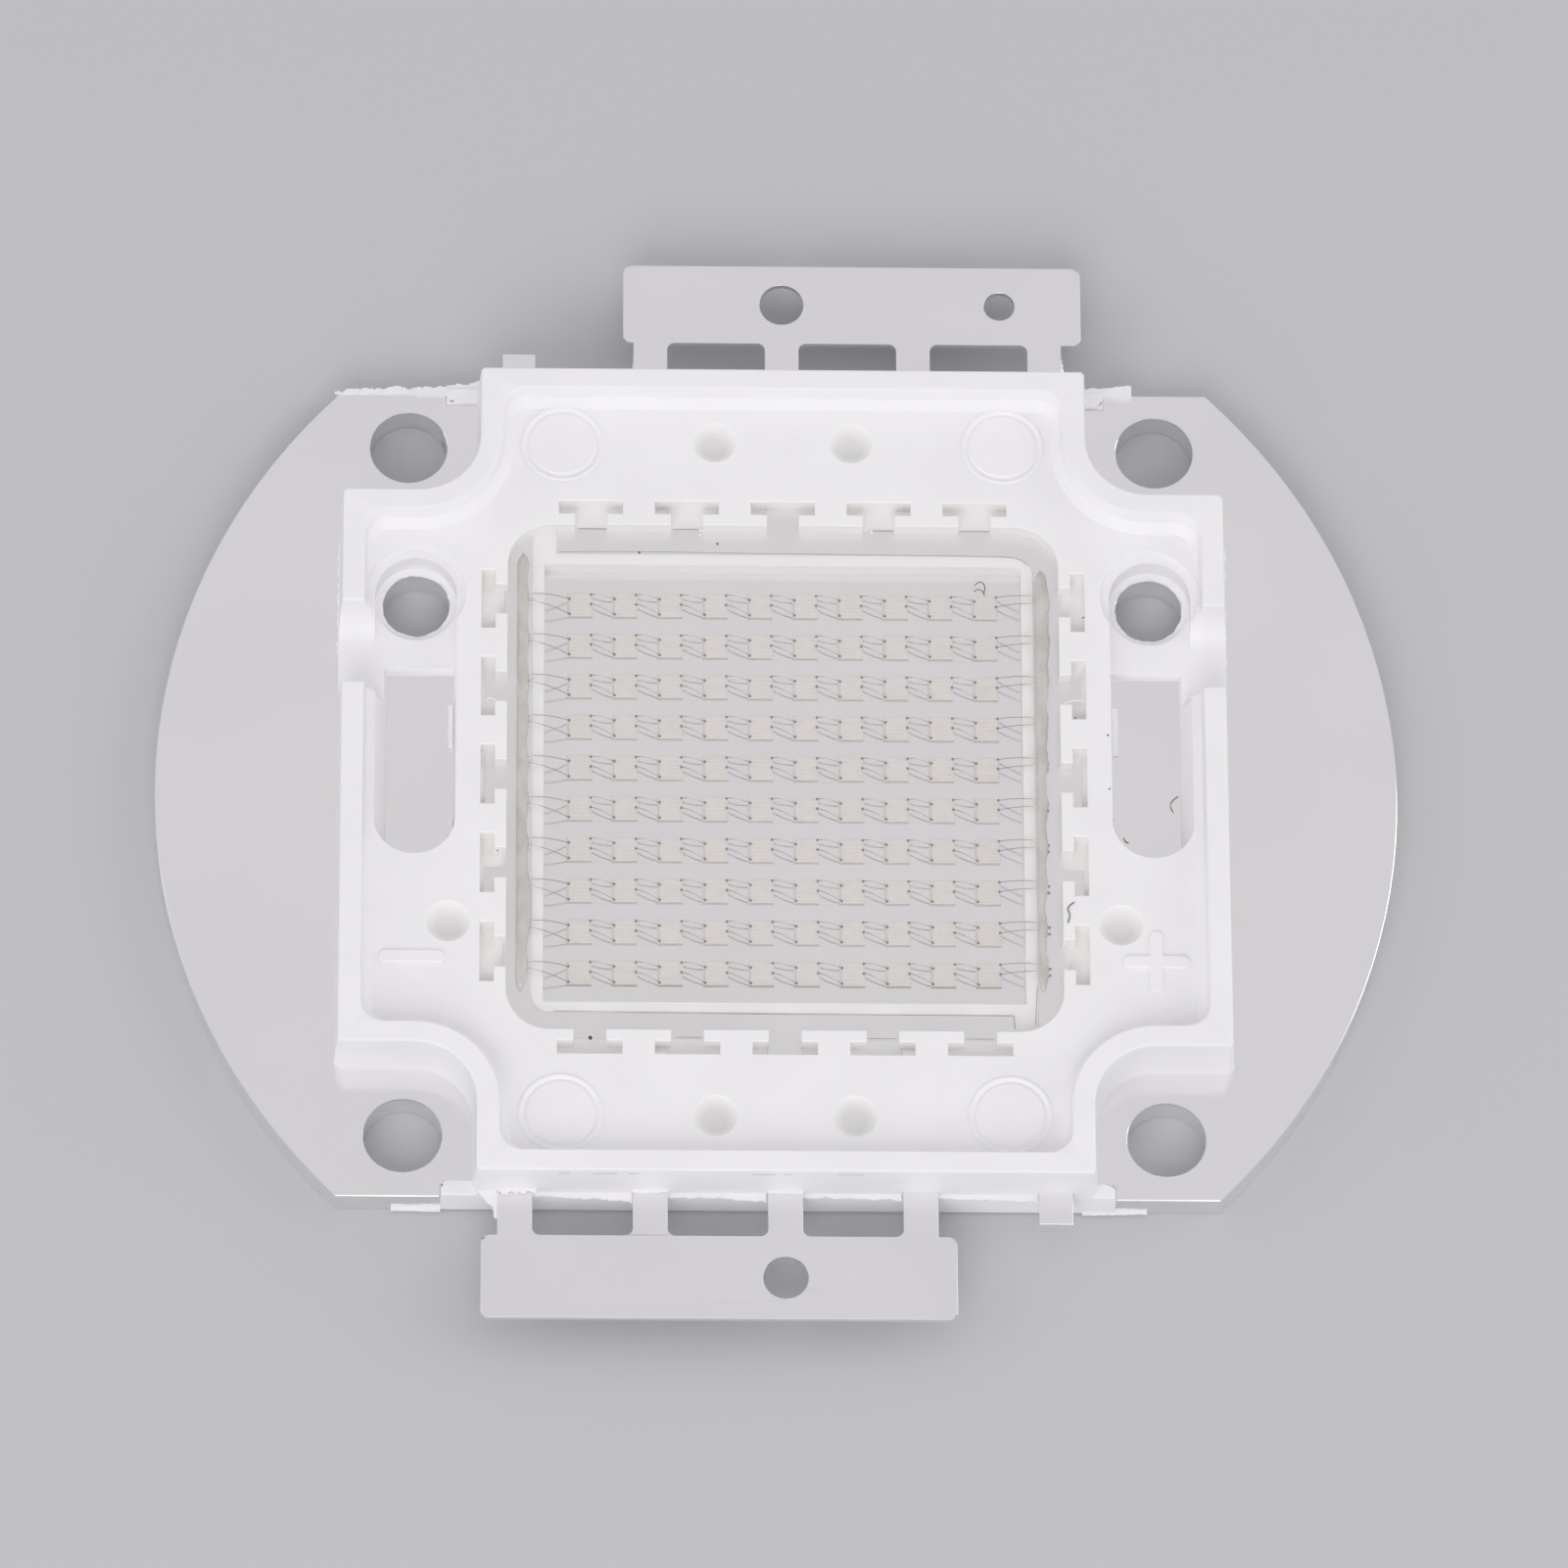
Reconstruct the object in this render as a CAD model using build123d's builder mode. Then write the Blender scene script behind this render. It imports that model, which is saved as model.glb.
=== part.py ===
from build123d import *
import os
from math import hypot, radians, tan

os.makedirs("parts", exist_ok=True)

# Corner hole pattern: the frame and the leads are centred on it, a little right of the disc's centre
pattern_x = 0.3
corner_hole_spacing_x = 34.0
corner_hole_spacing_y = 34.0
corner_hole_radius = 1.75

# Base plate: a stamped disc with two flats, and the metal left outside the corner holes
plate_thickness = 1.5
plate_edge = 2.0
flat_edge = 1.15

# Moulded frame: a cross-shaped block whose corners sweep round the screws, sizes at its foot
screw_room_x = 3.1
screw_room_y = 3.2
frame_margin = 3.1
frame_overhang = 0.05
frame_height = 2.8
frame_draft = 4.0
corner_sweep = 2.6
corner_chamfer = 0.25

# Plastic that wraps the plate's flats, centred on the plate, and its low feet beside the ends of the frame
foot_reach = 1.1
foot_height = 0.25
wrap_depth = 0.75
wrap_lift = 0.1
foot_corner = 0.35

# Rim and the recessed floor inside it
rim_width = 1.0
recess_depth = 1.2
recess_corner = 1.1
rim_wall_depth = 0.75
rim_wall_slope = 8.0
rim_toe_slope = 42.0

# Side pockets: hole, seat and collar, bridge, the window that bares the plate, notch in the rim
side_hole_inset = 3.5
side_hole_y = 9.0
side_hole_radius = 1.5
seat_width = 0.35
collar_width = 0.4
collar_depth = 0.35
bridge_thickness = 0.35
side_window_back_y = 5.8
side_window_front_y = -3.95
side_window_wall = 2.2
side_window_draft = 4.0
notch_y = 6.0
notch_width = 4.0
notch_fillet = 1.2

# Anchor slots round the cavity, and the wall left between them and the side windows
slot_wall = 1.12
slot_count = 5
slot_pitch = 4.35
slot_neck = 0.55
slot_stem_width = 1.45
slot_bar_length = 2.9
slot_bar_depth = 0.63
cavity_corner = 2.0

# Marks on the recessed floor, with their distances in from the frame's ends and sides
ejector_x = 10.0
ejector_inset = 3.45
ejector_radius = 1.75
ejector_depth = 0.08
dimple_x = 3.1
dimple_inset = 3.35
side_dimple_inset = 5.05
side_dimple_y = -7.25
dimple_radius = 1.0
dimple_depth = 0.4

# Stamped leads: pads that lap under the cavity's wall, a ledge inside them, legs, stub and anchors
lead_thickness = 0.3
lead_lift = 0.5
pad_lap = 0.15
pad_width = 1.27
pad_gap = 1.08
pad_inner_radius = 0.9
ledge_width = 0.53
leg_count = 4
legs_before_middle = 1
leg_inset = 1.9
leg_width = 1.55
leg_reach = 2.1
stub_width = 1.5
stub_reach = 1.45
anchor_reach = 1.0
anchor_width = 1.5
anchor_spacing = 4.85
anchor_y = -0.15
middle_anchor_width = 3.0

# Solder tabs: how far each runs past its first and last leg, and their holes
positive_tab_near_end = 0.475
positive_tab_far_end = 0.925
negative_tab_near_end = 0.825
negative_tab_far_end = 0.725
tab_depth = 3.95
tab_corner = 0.4
slot_corner = 0.35
tab_hole_radius = 1.0
small_hole_radius = 0.7
small_hole_offset = 2.03

# Dies: ten series strings of ten, and the bare metal between them and the ledge
die_size = 1.14
die_height = 0.15
die_count = 10
die_margin_x = 1.05
die_margin_y = 1.14

# Adhesive beads over the wire feet, from the pads' inner edges
bead_height = 0.3
bead_corner = 0.2
negative_bead_gap = 0.02
negative_bead_width = 0.76
negative_bead_length = 21.6
negative_bead_y = 0.5
positive_bead_gap = 0.02
positive_bead_width = 0.58
positive_bead_length = 20.8
positive_bead_y = 0.2

# Silicone stands just under the recessed floor
silicone_drop = 0.05

# Levels above the plate's underside
lead_bottom = plate_thickness + lead_lift
lead_top = lead_bottom + lead_thickness
frame_top = plate_thickness + frame_height
floor_level = frame_top - recess_depth
bridge_top = plate_thickness + bridge_thickness
silicone_top = floor_level - silicone_drop

# Base plate and frame, worked out from the corner holes
corner_x = corner_hole_spacing_x / 2
corner_y = corner_hole_spacing_y / 2
plate_radius = hypot(corner_x + pattern_x, corner_y) + corner_hole_radius + plate_edge
plate_across_flats = corner_hole_spacing_y + 2 * (corner_hole_radius + flat_edge)
frame_side = corner_x + frame_margin
frame_end = plate_across_flats / 2 + frame_overhang
end_half_width = corner_x - screw_room_x
side_half_width = corner_y - screw_room_y
recess_inset = rim_width + frame_height * tan(radians(frame_draft))
toe_inset = recess_inset + rim_wall_depth * tan(radians(rim_wall_slope))

# Side pockets and cavity, worked inwards from the frame's sides
side_hole_x = frame_side - side_hole_inset
pocket_radius = side_hole_radius + seat_width
collar_radius = pocket_radius + collar_width
side_window_outer_x = frame_side - side_window_wall
cavity_wall = side_hole_x - pocket_radius - slot_wall - slot_bar_depth - slot_neck

# Leads and dies, worked inwards from the cavity's wall
pad_outer = cavity_wall + pad_lap
pad_inner = pad_outer - pad_width
window_wall = pad_inner - ledge_width
leg_pitch = (end_half_width - leg_inset) / (leg_count / 2)
first_leg_edge = leg_pitch + leg_width / 2
last_leg_edge = 2 * leg_pitch + leg_width / 2
tab_inner_y = frame_end + leg_reach
tab_outer_y = tab_inner_y + tab_depth
tab_hole_y = (tab_inner_y + tab_outer_y) / 2
small_hole_x = 2 * leg_pitch - small_hole_offset
row_length = 2 * (window_wall - die_margin_x)
die_pitch_x = (row_length - die_size) / (die_count - 1)
die_pitch_y = (2 * (window_wall - die_margin_y) - die_size) / (die_count - 1)


def pattern_plane(height):
    """A level plane centred on the hole pattern."""
    return Plane((pattern_x, 0, height))


def frame_outline(inset):
    """The frame's cross-shaped outline, pulled in by the inset, in the sketch that is open."""
    Rectangle(2 * (frame_side - inset), 2 * (side_half_width - inset))
    Rectangle(2 * (end_half_width - inset), 2 * (frame_end - inset))
    swept_corners = vertices().sort_by(SortBy.DISTANCE)[:4]
    fillet(swept_corners, radius=corner_sweep + inset)


def end_strips():
    """A strip along each end of the frame that runs out past its sides, in the sketch that is open."""
    with GridLocations(1, 2 * frame_end - wrap_depth, 1, 2):
        Rectangle(2 * (end_half_width + foot_reach), wrap_depth)


def outer_corners():
    """The eight outer corners of the cross-shaped outline."""
    return vertices().sort_by(SortBy.DISTANCE)[-8:]


def cavity_outline():
    """The cavity with its T-shaped anchor slots, in the sketch that is open."""
    RectangleRounded(2 * cavity_wall, 2 * cavity_wall, cavity_corner)
    with PolarLocations(cavity_wall, 4):
        with GridLocations(1, slot_pitch, 1, slot_count):
            Rectangle(2 * slot_neck, slot_stem_width)
    with PolarLocations(cavity_wall + slot_neck, 4):
        with GridLocations(1, slot_pitch, 1, slot_count):
            Rectangle(slot_bar_depth, slot_bar_length, align=(Align.MIN, Align.CENTER))


def lead_outline(near_overhang, far_overhang, anchor_middle):
    """One lead seen from above, with its tab at the back: pad strip, side arm, legs, tab and stub."""
    with Locations((pad_outer, pad_outer)):
        Rectangle(pad_outer + pad_inner - pad_gap, pad_width, align=Align.MAX)
        Rectangle(pad_width, 2 * pad_outer, align=Align.MAX)
    corner = vertices().sort_by_distance((pad_inner, pad_inner))[0]
    fillet(corner, radius=pad_inner_radius)
    near_end = first_leg_edge + near_overhang
    far_end = last_leg_edge + far_overhang
    with Locations(((far_end - near_end) / 2, tab_hole_y)):
        RectangleRounded(near_end + far_end, tab_depth, tab_corner)
    for leg in range(leg_count):
        with Locations(((leg - legs_before_middle) * leg_pitch, (pad_outer + tab_hole_y) / 2)):
            Rectangle(leg_width, tab_hole_y - pad_outer)
    roots = [v for v in vertices() if abs(v.Y - tab_inner_y) < 0.01 and -leg_pitch < v.X < 2 * leg_pitch]
    fillet(roots, radius=slot_corner)
    with Locations((2 * leg_pitch, -frame_end - stub_reach)):
        Rectangle(stub_width, frame_end + stub_reach - pad_outer, align=(Align.CENTER, Align.MIN))
    with Locations((cavity_wall, anchor_middle)):
        with GridLocations(1, 2 * anchor_spacing, 1, 2):
            Rectangle(anchor_reach, anchor_width, align=(Align.MIN, Align.CENTER))
        Rectangle(anchor_reach, middle_anchor_width, align=(Align.MIN, Align.CENTER))


def dimple():
    """A pointed dimple cut into the part that is open, from its point upwards."""
    level = (Align.CENTER, Align.CENTER, Align.MIN)
    Cone(0, dimple_radius, dimple_depth, align=level, mode=Mode.SUBTRACT)


# Base plate
with BuildPart() as base_plate:
    with BuildSketch() as blank:
        Circle(plate_radius)
        Rectangle(2 * plate_radius, plate_across_flats, mode=Mode.INTERSECT)
        with Locations((pattern_x, 0)):
            with GridLocations(corner_hole_spacing_x, corner_hole_spacing_y, 2, 2):
                Circle(corner_hole_radius, mode=Mode.SUBTRACT)
            with Locations((-side_hole_x, side_hole_y), (side_hole_x, side_hole_y)):
                Circle(side_hole_radius, mode=Mode.SUBTRACT)
    extrude(amount=plate_thickness)
    with BuildSketch() as flat_notches:
        end_strips()
    extrude(amount=plate_thickness, mode=Mode.SUBTRACT)
base_plate.part.label = "base_plate"

# Positive lead, tab at the back
with BuildPart() as lead_positive:
    with BuildSketch(pattern_plane(lead_bottom)) as positive_sheet:
        lead_outline(positive_tab_near_end, positive_tab_far_end, anchor_y)
        with Locations((0, tab_hole_y)):
            Circle(tab_hole_radius, mode=Mode.SUBTRACT)
        with Locations((small_hole_x, tab_hole_y)):
            Circle(small_hole_radius, mode=Mode.SUBTRACT)
    extrude(amount=lead_thickness)
lead_positive.part.label = "lead_positive"

# Negative lead, the same shape turned half round, tab at the front
with BuildPart() as lead_negative:
    with BuildSketch(pattern_plane(lead_bottom).rotated((0, 0, 180))) as negative_sheet:
        lead_outline(negative_tab_near_end, negative_tab_far_end, -anchor_y)
        with Locations((0, tab_hole_y)):
            Circle(tab_hole_radius, mode=Mode.SUBTRACT)
    extrude(amount=lead_thickness)
lead_negative.part.label = "lead_negative"

# What is cut away round one side hole: collar, pocket, window and the notch through the rim
with BuildPart() as side_cut:
    with BuildSketch(pattern_plane(floor_level)) as side_window:
        with Locations((side_hole_x, side_window_front_y + pocket_radius)):
            Circle(pocket_radius)
        with Locations((side_hole_x, side_window_back_y)):
            Rectangle(
                2 * pocket_radius,
                side_window_back_y - side_window_front_y - pocket_radius,
                align=(Align.CENTER, Align.MAX),
            )
    extrude(amount=plate_thickness - floor_level, taper=side_window_draft)
    slope_plane = Plane((pattern_x, side_window_back_y, 0), x_dir=(1, 0, 0), z_dir=(0, -1, 0))
    with BuildSketch(slope_plane) as slope:
        with BuildLine() as slope_line:
            Polyline(
                (side_window_outer_x, plate_thickness),
                (side_hole_x + pocket_radius, floor_level),
                (side_hole_x + pocket_radius, plate_thickness),
                close=True,
            )
        make_face()
    extrude(amount=side_window_back_y - side_window_front_y, mode=Mode.SUBTRACT)
    with BuildSketch(pattern_plane(plate_thickness)) as counterbore:
        with Locations((side_hole_x, side_hole_y)):
            Circle(pocket_radius)
    extrude(amount=floor_level - plate_thickness)
    with BuildSketch(pattern_plane(bridge_top)) as pocket:
        with Locations((side_hole_x, side_hole_y)):
            Rectangle(
                2 * pocket_radius,
                side_hole_y - side_window_back_y + pocket_radius,
                align=(Align.CENTER, Align.MAX),
            )
    extrude(amount=floor_level - bridge_top)
    with BuildSketch(pattern_plane(floor_level - collar_depth)) as collar:
        with Locations((side_hole_x, side_hole_y)):
            Circle(collar_radius)
    extrude(amount=recess_depth + collar_depth)
    notch_plane = Plane((pattern_x + side_hole_x, notch_y, bridge_top), x_dir=(0, 1, 0), z_dir=(1, 0, 0))
    with BuildSketch(notch_plane) as notch:
        Rectangle(notch_width, 2 * frame_height, align=(Align.CENTER, Align.MIN))
        fillet(vertices().group_by(Axis.Y)[0], radius=notch_fillet)
    extrude(amount=side_hole_inset + rim_width)

# Moulded frame
with BuildPart() as frame:
    with BuildSketch(pattern_plane(plate_thickness)) as foot:
        frame_outline(0)
        chamfer(outer_corners(), length=corner_chamfer)
    extrude(amount=frame_height, taper=frame_draft)
    with BuildSketch(pattern_plane(frame_top)) as recess:
        frame_outline(recess_inset)
        fillet(outer_corners(), radius=recess_corner)
    extrude(amount=-rim_wall_depth, taper=rim_wall_slope, mode=Mode.SUBTRACT)
    with BuildSketch(pattern_plane(frame_top - rim_wall_depth)) as toe:
        frame_outline(toe_inset)
        fillet(outer_corners(), radius=recess_corner + recess_inset - toe_inset)
    extrude(amount=rim_wall_depth - recess_depth, taper=rim_toe_slope, mode=Mode.SUBTRACT)
    with BuildSketch(Plane.XY.offset(wrap_lift)) as wrap:
        end_strips()
    extrude(amount=plate_thickness - wrap_lift)
    with BuildSketch(Plane.XY.offset(plate_thickness)) as feet:
        end_strips()
        inner_corners = vertices().sort_by(SortBy.DISTANCE)[:4]
        fillet(inner_corners, radius=foot_corner)
    extrude(amount=foot_height, taper=frame_draft)
    with BuildSketch(pattern_plane(lead_top)) as cavity:
        cavity_outline()
    extrude(amount=floor_level - lead_top, mode=Mode.SUBTRACT)
    with BuildSketch(pattern_plane(plate_thickness)) as window:
        Rectangle(2 * window_wall, 2 * window_wall)
    extrude(amount=lead_top - plate_thickness, mode=Mode.SUBTRACT)
    with BuildSketch(pattern_plane(floor_level)) as ejector_marks:
        with GridLocations(2 * ejector_x, 2 * (frame_end - ejector_inset), 2, 2):
            Circle(ejector_radius)
    extrude(amount=-ejector_depth, mode=Mode.SUBTRACT)
    with Locations(pattern_plane(floor_level - dimple_depth)):
        with GridLocations(2 * dimple_x, 2 * (frame_end - dimple_inset), 2, 2):
            dimple()
        with Locations((0, side_dimple_y)):
            with GridLocations(2 * (frame_side - side_dimple_inset), 1, 2, 1):
                dimple()
    add(side_cut.part, mode=Mode.SUBTRACT)
    add(side_cut.part.mirror(Plane.YZ.offset(pattern_x)), mode=Mode.SUBTRACT)
    add(lead_positive.part, mode=Mode.SUBTRACT)
    add(lead_negative.part, mode=Mode.SUBTRACT)
frame.part.label = "frame"

# Ten rows of dies, from the back row to the front row
die_rows = []
for row in range(die_count):
    row_y = ((die_count - 1) / 2 - row) * die_pitch_y
    with BuildPart() as die_row:
        with BuildSketch(pattern_plane(plate_thickness)) as die_faces:
            with Locations((0, row_y)):
                with GridLocations(die_pitch_x, 1, die_count, 1):
                    Rectangle(die_size, die_size)
        extrude(amount=die_height)
    die_row.part.label = f"die_row_{row + 1:02d}"
    die_rows.append(die_row)

# Adhesive bead on the negative pad
with BuildPart() as bead_negative:
    with BuildSketch(pattern_plane(lead_top)) as negative_bead_foot:
        with Locations((-pad_inner - negative_bead_gap, negative_bead_y)):
            Rectangle(negative_bead_width, negative_bead_length, align=(Align.MAX, Align.CENTER))
        chamfer(vertices(), length=bead_corner)
    extrude(amount=bead_height)
bead_negative.part.label = "bead_negative"

# Adhesive bead on the positive pad
with BuildPart() as bead_positive:
    with BuildSketch(pattern_plane(lead_top)) as positive_bead_foot:
        with Locations((pad_inner + positive_bead_gap, positive_bead_y)):
            Rectangle(positive_bead_width, positive_bead_length, align=(Align.MIN, Align.CENTER))
        chamfer(vertices(), length=bead_corner)
    extrude(amount=bead_height)
bead_positive.part.label = "bead_positive"

# Silicone in the cavity, over the dies and in the anchor slots
with BuildPart() as encapsulant:
    with BuildSketch(pattern_plane(lead_top)) as upper_fill:
        cavity_outline()
    extrude(amount=silicone_top - lead_top)
    with BuildSketch(pattern_plane(plate_thickness)) as lower_fill:
        Rectangle(2 * window_wall, 2 * window_wall)
        with GridLocations(1, die_pitch_y, 1, die_count):
            Rectangle(row_length, die_size, mode=Mode.SUBTRACT)
    extrude(amount=die_height)
    with BuildSketch(pattern_plane(plate_thickness + die_height)) as middle_fill:
        Rectangle(2 * window_wall, 2 * window_wall)
    extrude(amount=lead_top - plate_thickness - die_height)
    add(bead_negative.part, mode=Mode.SUBTRACT)
    add(bead_positive.part, mode=Mode.SUBTRACT)
encapsulant.part.label = "encapsulant"

pieces = [base_plate, frame, lead_positive, lead_negative, bead_positive, bead_negative, encapsulant]
pieces = pieces + die_rows
for piece in pieces:
    export_step(piece.part, f"parts/{piece.part.label}.step")
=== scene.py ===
import math
import random

import bpy
from mathutils import Matrix, Vector


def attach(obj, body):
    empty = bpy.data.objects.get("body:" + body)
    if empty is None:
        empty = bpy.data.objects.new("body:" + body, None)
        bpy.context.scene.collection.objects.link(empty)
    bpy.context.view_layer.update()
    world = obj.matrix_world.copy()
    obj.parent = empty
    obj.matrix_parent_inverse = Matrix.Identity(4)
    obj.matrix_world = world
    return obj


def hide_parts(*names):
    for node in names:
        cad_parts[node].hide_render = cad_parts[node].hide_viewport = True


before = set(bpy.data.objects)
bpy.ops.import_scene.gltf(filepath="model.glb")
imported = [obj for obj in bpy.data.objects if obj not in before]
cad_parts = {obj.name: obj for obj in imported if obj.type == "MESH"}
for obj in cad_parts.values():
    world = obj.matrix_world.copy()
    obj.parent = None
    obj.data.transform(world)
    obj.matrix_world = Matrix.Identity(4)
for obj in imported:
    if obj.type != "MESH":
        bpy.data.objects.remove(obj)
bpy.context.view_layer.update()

MM = 0.001

# Places and sizes in millimetres, as the solids have them. FRONT_FACE is the frame's, where the legs come out
PATTERN_X = 0.3
PLATE_TOP = 1.5
LEAD_TOP = 2.3
FLOOR = 3.1
FRAME_TOP = 4.3
FOOT_TOP = 1.75
DIE_SIZE = 1.14
DIE_HEIGHT = 0.15
DIE_TOP = PLATE_TOP + DIE_HEIGHT
DIE_COUNT = 10
DIE_PITCH_X = 2.04
DIE_PITCH_Y = 2.02
FRAME_END = 19.95
EJECTOR_X = 10.0
EJECTOR_Y = 16.5
PAD_INNER = 11.33
SIDE_HOLE_X = 16.6
SIDE_HOLE_Y = 9.0
SIDE_HOLE_RADIUS = 1.5
SEAT_RADIUS = 1.85
FRONT_FACE = -19.88

# How far from the middle of the hole pattern, and how high, the silicone wets the plastic
WETTED_REACH = 13.75
WETTED_TOP = 3.04

# Where the painted shade starts to grey the matt dimples, and where they are greyest
PIT_START = FLOOR - 0.04
PIT_END = FLOOR - 0.42

# The raised signs
SIGN_WIDTH = 0.6
SIGN_HEIGHT = 0.12


def metres(*lengths):
    """Millimetres as a vector in metres."""
    return Vector([length * MM for length in lengths])


def colour(code):
    """An sRGB hex value as linear red, green, blue and alpha."""
    parts = [int(code[i:i + 2], 16) / 255 for i in (1, 3, 5)]
    return [p / 12.92 if p <= 0.04045 else ((p + 0.055) / 1.055) ** 2.4 for p in parts] + [1.0]


def only(*pieces):
    """Leaves just these pieces selected, the first of them active."""
    bpy.ops.object.select_all(action="DESELECT")
    for piece in pieces:
        piece.select_set(True)
    bpy.context.view_layer.objects.active = pieces[0]


def choose(piece, kind, test):
    """Opens a piece for editing, with the faces or edges selected that pass the test in millimetres."""
    only(piece)
    bpy.ops.object.mode_set(mode="EDIT")
    bpy.ops.mesh.select_mode(type=kind)
    bpy.ops.mesh.select_all(action="DESELECT")
    bpy.ops.object.mode_set(mode="OBJECT")
    mesh = piece.data
    if kind == "FACE":
        for face in mesh.polygons:
            face.select = test(face.center / MM, face.normal)
    else:
        for edge in mesh.edges:
            start, end = (mesh.vertices[i].co / MM for i in edge.vertices)
            edge.select = test(start, end)
    bpy.ops.object.mode_set(mode="EDIT")


def close_edit():
    """Leaves edit mode."""
    bpy.ops.object.mode_set(mode="OBJECT")


def settle():
    """Puts the active piece's place, turn and scale into its mesh."""
    bpy.ops.object.transform_apply(location=True, rotation=True, scale=True)
    return bpy.context.object


def block(size, centre):
    """A box to start a piece from."""
    bpy.ops.object.select_all(action="DESELECT")
    bpy.ops.mesh.primitive_cube_add(size=1, location=metres(*centre))
    bpy.context.object.scale = metres(*size)
    return settle()


def disc(radius, height, foot, sides):
    """A round to start a piece from, standing on its foot."""
    bpy.ops.object.select_all(action="DESELECT")
    middle = metres(foot[0], foot[1], foot[2] + height / 2)
    bpy.ops.mesh.primitive_cylinder_add(
        vertices=sides, radius=radius * MM, depth=height * MM, location=middle
    )
    return settle()


def copied(piece, *shift):
    """A copy with its own mesh, moved by millimetres."""
    only(piece)
    bpy.ops.object.duplicate(linked=False)
    twin = bpy.context.object
    twin.data.transform(Matrix.Translation(metres(*shift)))
    return twin


def joined(pieces):
    """Several meshes as one piece."""
    only(*pieces)
    bpy.ops.object.join()
    return bpy.context.object


def worked_copy(node_name):
    """A copy of a CAD node with its doubles merged."""
    piece = bpy.data.objects.new(node_name + "_worked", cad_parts[node_name].data.copy())
    bpy.context.collection.objects.link(piece)
    only(piece)
    bpy.ops.mesh.customdata_custom_splitnormals_clear()
    bpy.ops.object.mode_set(mode="EDIT")
    bpy.ops.mesh.select_all(action="SELECT")
    bpy.ops.mesh.remove_doubles(threshold=0.002 * MM)
    close_edit()
    return piece


def soften(piece, width, segments, test, sharpness=35):
    """Rounds the sharp edges whose two ends pass the test."""
    only(piece)
    bpy.ops.object.mode_set(mode="EDIT")
    bpy.ops.mesh.select_mode(type="EDGE")
    bpy.ops.mesh.select_all(action="DESELECT")
    bpy.ops.mesh.edges_select_sharp(sharpness=math.radians(sharpness))
    close_edit()
    mesh = piece.data
    mesh.polygons.foreach_set("select", [False] * len(mesh.polygons))
    places = [corner.co / MM for corner in mesh.vertices]
    for edge in mesh.edges:
        edge.select = edge.select and test(*(places[corner] for corner in edge.vertices))
    kept = {corner for edge in mesh.edges if edge.select for corner in edge.vertices}
    mesh.vertices.foreach_set("select", [number in kept for number in range(len(mesh.vertices))])
    bpy.ops.object.mode_set(mode="EDIT")
    bpy.ops.mesh.bevel(offset=width * MM, segments=segments, clamp_overlap=False)
    close_edit()


def finished(piece, name, material, nodes=(), smooth=20):
    """Names a piece, gives it its material and smoothness, and ties it to the frame."""
    piece.name = name
    piece.data.name = name
    only(piece)
    settle()
    bpy.ops.object.shade_smooth_by_angle(angle=math.radians(smooth))
    weighting = piece.modifiers.new("weighting", "WEIGHTED_NORMAL")
    weighting.keep_sharp = True
    bpy.ops.object.modifier_apply(modifier="weighting")
    if material:
        piece.data.materials.clear()
        piece.data.materials.append(material)
    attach(piece, "root")
    if nodes:
        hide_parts(*nodes)
    return piece


def add_node(tree, kind, settings=None, inputs=None):
    """Adds a node with its settings, and gives its inputs a value or a link."""
    made = tree.nodes.new(kind)
    for name, value in (settings or {}).items():
        setattr(made, name, value)
    for name, value in (inputs or {}).items():
        if isinstance(value, bpy.types.NodeSocket):
            tree.links.new(value, made.inputs[name])
        else:
            made.inputs[name].default_value = value
    return made


def new_material(name, **sockets):
    """A material whose Principled shader has these constant values."""
    material = bpy.data.materials.new(name)
    material.use_nodes = True
    shader = material.node_tree.nodes["Principled BSDF"]
    for socket, value in sockets.items():
        shader.inputs[socket.replace("_", " ")].default_value = value
    return material, material.node_tree, shader


def object_noise(tree, size, detail):
    """A noise pattern on Object coordinates whose grain has this size in millimetres along X, Y and Z."""
    place = add_node(tree, "ShaderNodeTexCoord")
    scale = [1 / (length * MM) for length in size]
    mapping = add_node(tree, "ShaderNodeMapping", None, {"Vector": place.outputs["Object"], "Scale": scale})
    noise = add_node(
        tree, "ShaderNodeTexNoise", None,
        {"Vector": mapping.outputs["Vector"], "Scale": 1.0, "Detail": detail},
    )
    return noise.outputs["Fac"]


def raise_grain(tree, shader, size, depth, strength=0.5, detail=3.0):
    """Raises a fine grain of this size and depth in millimetres, and returns its pattern."""
    pattern = object_noise(tree, size, detail)
    raised = add_node(
        tree, "ShaderNodeBump", None, {"Height": pattern, "Distance": depth * MM, "Strength": strength}
    )
    tree.links.new(raised.outputs["Normal"], shader.inputs["Normal"])
    return pattern


def shades(tree, pattern, low, high, first, second):
    """Two colours, blended as the pattern goes from low to high."""
    share = add_node(tree, "ShaderNodeMapRange", None, {"Value": pattern, "From Min": low, "From Max": high})
    blend = add_node(
        tree, "ShaderNodeMix", {"data_type": "RGBA"},
        {"Factor": share.outputs["Result"], 6: colour(first), 7: colour(second)},
    )
    return blend.outputs[2]


def plated_metal(name, dark, light, lines, roughness):
    """Plated sheet, satin from the rolls: fine lines along X blur what it mirrors."""
    material, tree, shader = new_material(name, Metallic=1.0)
    pattern = raise_grain(tree, shader, lines, 0.001, 0.12, 4.0)
    clouds = object_noise(tree, (9.0, 7.0, 9.0), 2.0)
    tree.links.new(shades(tree, clouds, 0.3, 0.7, dark, light), shader.inputs["Base Color"])
    gloss = add_node(
        tree, "ShaderNodeMapRange", None,
        {
            "Value": pattern, "From Min": 0.3, "From Max": 0.7,
            "To Min": roughness - 0.01, "To Max": roughness + 0.01,
        },
    )
    tree.links.new(gloss.outputs["Result"], shader.inputs["Roughness"])
    return material


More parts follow.
